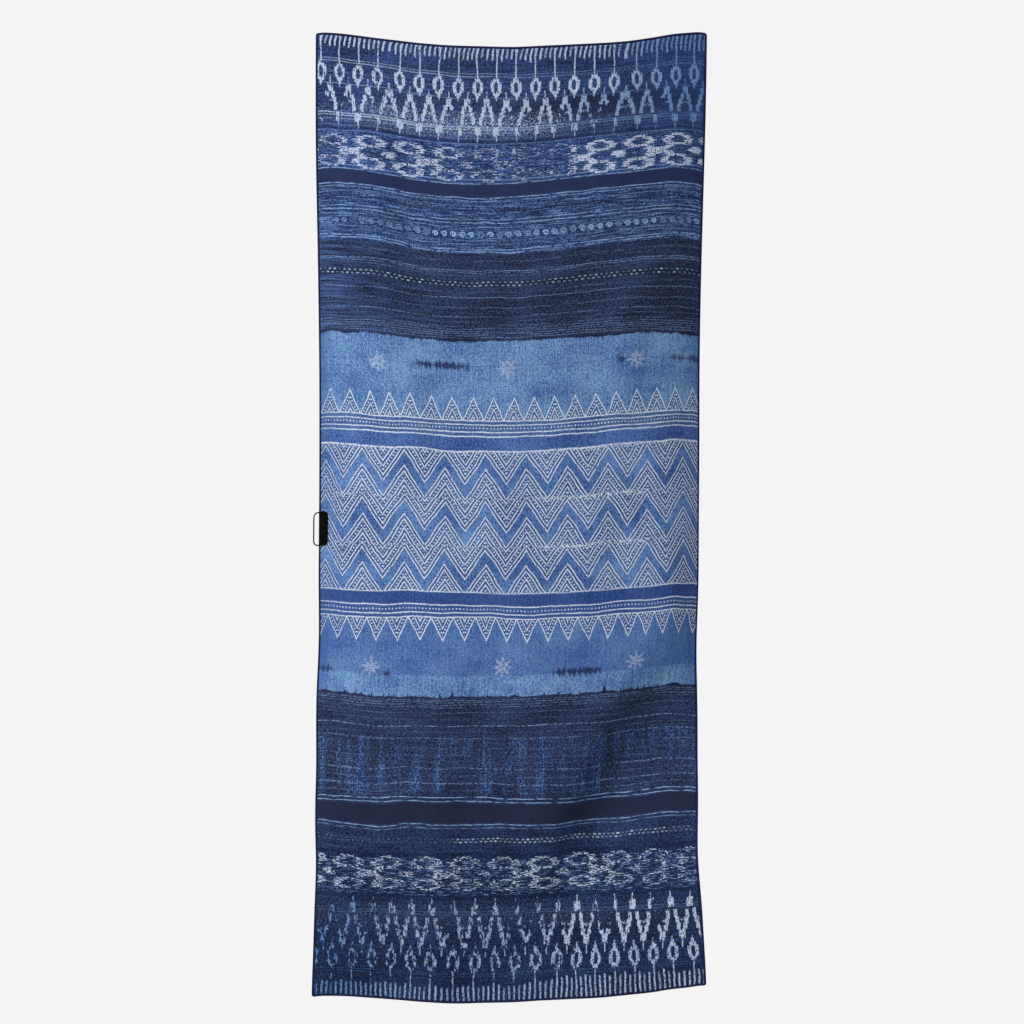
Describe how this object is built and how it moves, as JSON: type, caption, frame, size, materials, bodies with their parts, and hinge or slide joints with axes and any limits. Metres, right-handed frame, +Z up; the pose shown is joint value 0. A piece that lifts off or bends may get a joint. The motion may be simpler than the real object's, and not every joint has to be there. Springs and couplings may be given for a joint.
{
  "type": "bath towel",
  "caption": "Thin printed bath towel hanging from its two top corners, with a narrow bound edge, a small rubber patch on one side and an elastic hang loop.",
  "frame": {"origin": "middle of the towel's top edge, in the middle of the cloth's thickness", "axes": "+Z up along the length, +X to the right of the printed face, +Y away from the printed face"},
  "size_m": [0.7647, 0.1491, 1.8744],
  "materials": {
    "cloth": "matte",
    "binding": "matte",
    "patch": "satin",
    "loop": "matte"
  },
  "bodies": {
    "root": {"printed_cloth": "cloth", "binding_top": "binding", "binding_bottom": "binding", "binding_left": "binding", "binding_right": "binding", "rubber_patch": "patch", "hang_loop": "loop"}
  },
  "joints": []
}
